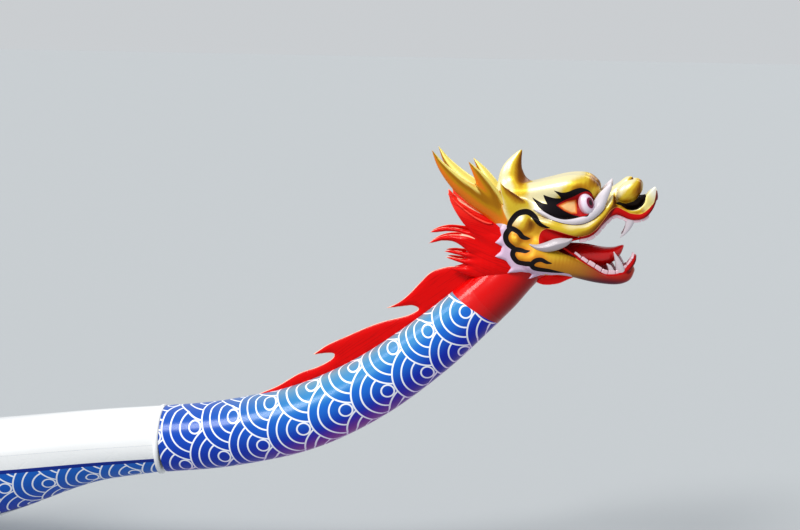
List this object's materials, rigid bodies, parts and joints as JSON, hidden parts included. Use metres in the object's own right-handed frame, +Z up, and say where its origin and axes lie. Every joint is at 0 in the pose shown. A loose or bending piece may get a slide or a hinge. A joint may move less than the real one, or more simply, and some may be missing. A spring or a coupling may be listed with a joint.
{
  "type": "racing dragon boat",
  "caption": "Long open racing hull with a carved dragon head on a scaled neck, a dragon tail, crew seats, a drummer's seat, a drum and a steering oar in a rowlock",
  "frame": {"origin": "centre of the waterplane, on the centreline midway between the two seams of the hull", "axes": "+X to the bow and the dragon head, +Y to port, +Z up, metres"},
  "size_m": [12.378, 1.2096, 1.7711],
  "materials": {
    "hull_gelcoat": "glossy white gelcoat with a painted wave band along the sides",
    "inner_gelcoat": "light blue satin gelcoat inside the hull",
    "seat_wood": "varnished softwood planks",
    "drum_wood": "dark varnished wood",
    "drum_lacquer": "glossy red lacquer with gold bands and studs",
    "drum_skin": "stretched pale hide",
    "board_red": "plain red board with rounded corners",
    "wave_paint": "glossy azure to violet paint with white concentric wave arcs",
    "red_lacquer": "glossy red paint over moulded resin, pale pink edges",
    "gold_paint": "satin metallic gold paint over moulded resin, airbrushed brown in the hollows",
    "mouth_red": "glossy red inside the mouth",
    "tooth_white": "glossy white paint",
    "eye_white": "glossy white eyeball with a dark iris",
    "steel": "stainless tube and plate",
    "oar_wood": "varnished ash",
    "sleeve_rubber": "black rubber wear sleeve"
  },
  "bodies": {
    "root": {"hull_shell": "hull_gelcoat", "gunwale_port": "hull_gelcoat", "gunwale_starboard": "hull_gelcoat", "bow_deck": "hull_gelcoat", "stern_deck": "hull_gelcoat", "bow_bulkhead": "inner_gelcoat", "stern_bulkhead": "inner_gelcoat", "floor": "inner_gelcoat", "seat_ledge_port": "inner_gelcoat", "seat_ledge_starboard": "inner_gelcoat", "seat_1": "seat_wood", "seat_2": "seat_wood", "seat_3": "seat_wood", "seat_4": "seat_wood", "seat_5": "seat_wood", "drummer_seat": "hull_gelcoat", "drum_stand": "drum_wood", "drum_barrel": "drum_lacquer", "drum_skin_lower": "drum_skin", "drum_skin_upper": "drum_skin", "number_board": "board_red", "neck_coupling": "hull_gelcoat", "neck": "wave_paint", "collar": "red_lacquer", "skull": "gold_paint", "lower_jaw": "gold_paint", "tongue": "mouth_red", "crest_horn": "gold_paint", "antler_port": "gold_paint", "antler_starboard": "gold_paint", "ear_port": "gold_paint", "ear_starboard": "gold_paint", "cheek_mane_port": "red_lacquer", "cheek_mane_starboard": "red_lacquer", "eye_port": "eye_white", "eye_starboard": "eye_white", "upper_fang_port": "tooth_white", "upper_fang_starboard": "tooth_white", "lower_fang_port": "tooth_white", "lower_fang_starboard": "tooth_white", "tusk_port": "tooth_white", "tusk_starboard": "tooth_white", "mane_fin": "red_lacquer", "chin_flame": "red_lacquer", "tail_coupling": "hull_gelcoat", "tail_stalk": "wave_paint", "tail_fin": "red_lacquer", "tail_tuft": "red_lacquer", "rowlock_arm": "steel"},
    "rowlock": {"rowlock": "steel"},
    "steering_oar": {"oar_shaft": "oar_wood", "oar_blade": "oar_wood", "oar_sleeve": "sleeve_rubber", "oar_handle": "oar_wood"}
  },
  "joints": [
    {"name": "rowlock_swivel", "type": "hinge", "parent": "root", "child": "rowlock", "pos_m": [-3.65, 0.56, 0.4], "axis": [0, 0, 1], "range_deg": [-40, 12]},
    {"name": "oar_pitch", "type": "hinge", "parent": "rowlock", "child": "steering_oar", "pos_m": [-3.65, 0.56, 0.466], "axis": [0, 1, 0], "range_deg": [-14, 10]}
  ]
}
